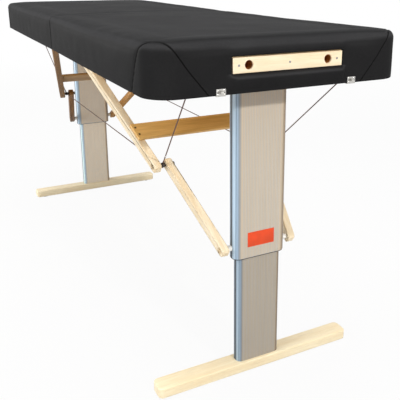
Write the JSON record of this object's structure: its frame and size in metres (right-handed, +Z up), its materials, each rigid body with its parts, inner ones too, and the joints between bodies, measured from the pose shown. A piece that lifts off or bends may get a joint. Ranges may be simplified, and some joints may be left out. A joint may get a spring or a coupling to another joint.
{
  "type": "electric massage table",
  "caption": "Padded folding treatment table on electric lifting columns with wooden feet, wooden folding braces, wire stays and a headrest outlet plate.",
  "frame": {"origin": "on the floor, at the middle of the table", "axes": "+X along the table towards the end with the headrest holes, +Z up"},
  "size_m": [2.017, 0.7, 0.964],
  "materials": {
    "vinyl": "matt leatherette",
    "plywood": "lacquered plywood",
    "pale_plywood": "lacquered plywood",
    "timber": "lacquered pale hardwood",
    "anodised": "fine vertical ribs, anodised",
    "cast_alloy": "cast",
    "dark_steel": "blackened",
    "bright_steel": "satin",
    "nickel": "nickel plated",
    "black_plastic": "moulded",
    "white_plastic": "moulded",
    "rubber": "moulded",
    "cable": "plastic sheathed wire rope",
    "orange_plate": "bare printed label"
  },
  "bodies": {
    "near_half": {"near_cushion": "vinyl", "near_panel": "plywood", "near_side_rails": "timber", "near_end_rail": "timber", "near_centre_rail": "timber", "near_cross_bearer": "timber", "near_pivot_brackets": "dark_steel", "near_brace_pivot_bolts": "dark_steel", "near_cable_eyes": "nickel", "near_end_cables": "cable", "near_hinge_leaves": "bright_steel", "near_latch_keepers": "nickel", "headrest_plate": "pale_plywood", "headrest_block": "timber", "plate_screws": "nickel", "control_box": "black_plastic", "side_cables": "cable"},
    "near_column": {"near_outer_tube": "anodised", "near_column_head": "cast_alloy", "near_gearmotor": "dark_steel", "near_spindle": "bright_steel", "near_guide_collar": "black_plastic", "near_brace_anchors": "white_plastic", "label_plate": "orange_plate"},
    "near_lift_stage": {"near_inner_tube": "anodised", "near_slide_block": "white_plastic", "near_foot": "timber", "near_foot_pads": "rubber"},
    "near_upper_brace": {"near_upper_braces": "timber", "near_crossboard": "plywood", "near_brace_bolts": "dark_steel"},
    "near_lower_brace": {"near_lower_braces": "timber"},
    "far_half": {"far_cushion": "vinyl", "far_panel": "plywood", "far_side_rails": "timber", "far_end_rail": "timber", "far_centre_rail": "timber", "far_cross_bearer": "timber", "far_pivot_brackets": "dark_steel", "far_brace_pivot_bolts": "dark_steel", "far_cable_eyes": "nickel", "far_end_cables": "cable", "far_hinge_leaves": "bright_steel", "far_latch_bases": "nickel"},
    "far_column": {"far_outer_tube": "anodised", "far_column_head": "cast_alloy", "far_gearmotor": "dark_steel", "far_spindle": "bright_steel", "far_guide_collar": "black_plastic", "far_brace_anchors": "white_plastic"},
    "far_lift_stage": {"far_inner_tube": "anodised", "far_slide_block": "white_plastic", "far_foot": "timber", "far_foot_pads": "rubber"},
    "far_upper_brace": {"far_upper_braces": "timber", "far_crossboard": "plywood", "far_brace_bolts": "dark_steel"},
    "far_lower_brace": {"far_lower_braces": "timber"},
    "left_latch_lever": {"left_latch_lever": "nickel"},
    "right_latch_lever": {"right_latch_lever": "nickel"}
  },
  "joints": [
    {"name": "table_fold", "type": "hinge", "parent": "near_half", "child": "far_half", "pos_m": [0, 0, 0.838], "axis": [0, -1, 0], "range_deg": [0, 85]},
    {"name": "near_leg_fold", "type": "hinge", "parent": "near_half", "child": "near_column", "pos_m": [0.8719, 0, 0.8471], "axis": [0, 1, 0], "range_deg": [0, 90]},
    {"name": "near_lift", "type": "slide", "parent": "near_column", "child": "near_lift_stage", "axis": [0, 0, 1], "range_m": [0, 0.25]},
    {"name": "near_upper_brace_fold", "type": "hinge", "parent": "near_half", "child": "near_upper_brace", "pos_m": [0.12, 0, 0.915], "axis": [0, -1, 0], "range_deg": [0, 34.57], "deforming": ["near_end_cables", "side_cables"]},
    {"name": "near_lower_brace_fold", "type": "hinge", "parent": "near_upper_brace", "child": "near_lower_brace", "pos_m": [0.603, 0, 0.565], "axis": [0, 1, 0], "range_deg": [0, 172.48]},
    {"name": "far_leg_fold", "type": "hinge", "parent": "far_half", "child": "far_column", "pos_m": [-0.8719, 0, 0.8471], "axis": [0, -1, 0], "range_deg": [0, 90]},
    {"name": "far_lift", "type": "slide", "parent": "far_column", "child": "far_lift_stage", "axis": [0, 0, 1], "range_m": [0, 0.25]},
    {"name": "far_upper_brace_fold", "type": "hinge", "parent": "far_half", "child": "far_upper_brace", "pos_m": [-0.12, 0, 0.915], "axis": [0, 1, 0], "range_deg": [0, 34.57], "deforming": ["far_end_cables"]},
    {"name": "far_lower_brace_fold", "type": "hinge", "parent": "far_upper_brace", "child": "far_lower_brace", "pos_m": [-0.603, 0, 0.565], "axis": [0, -1, 0], "range_deg": [0, 172.48]},
    {"name": "left_latch", "type": "hinge", "parent": "far_half", "child": "left_latch_lever", "pos_m": [-1.0055, -0.182, 0.865], "axis": [0, 1, 0], "range_deg": [0, 100]},
    {"name": "right_latch", "type": "hinge", "parent": "far_half", "child": "right_latch_lever", "pos_m": [-1.0055, 0.182, 0.865], "axis": [0, 1, 0], "range_deg": [0, 100]}
  ],
  "couplings": [
    {"joint": "near_upper_brace_fold", "follows": "near_leg_fold", "ratio": 0.38396},
    {"joint": "near_lower_brace_fold", "follows": "near_leg_fold", "ratio": 1.9163},
    {"joint": "far_upper_brace_fold", "follows": "far_leg_fold", "ratio": 0.38396},
    {"joint": "far_lower_brace_fold", "follows": "far_leg_fold", "ratio": 1.9163},
    {"joint": "far_lift", "follows": "near_lift", "ratio": 1}
  ]
}
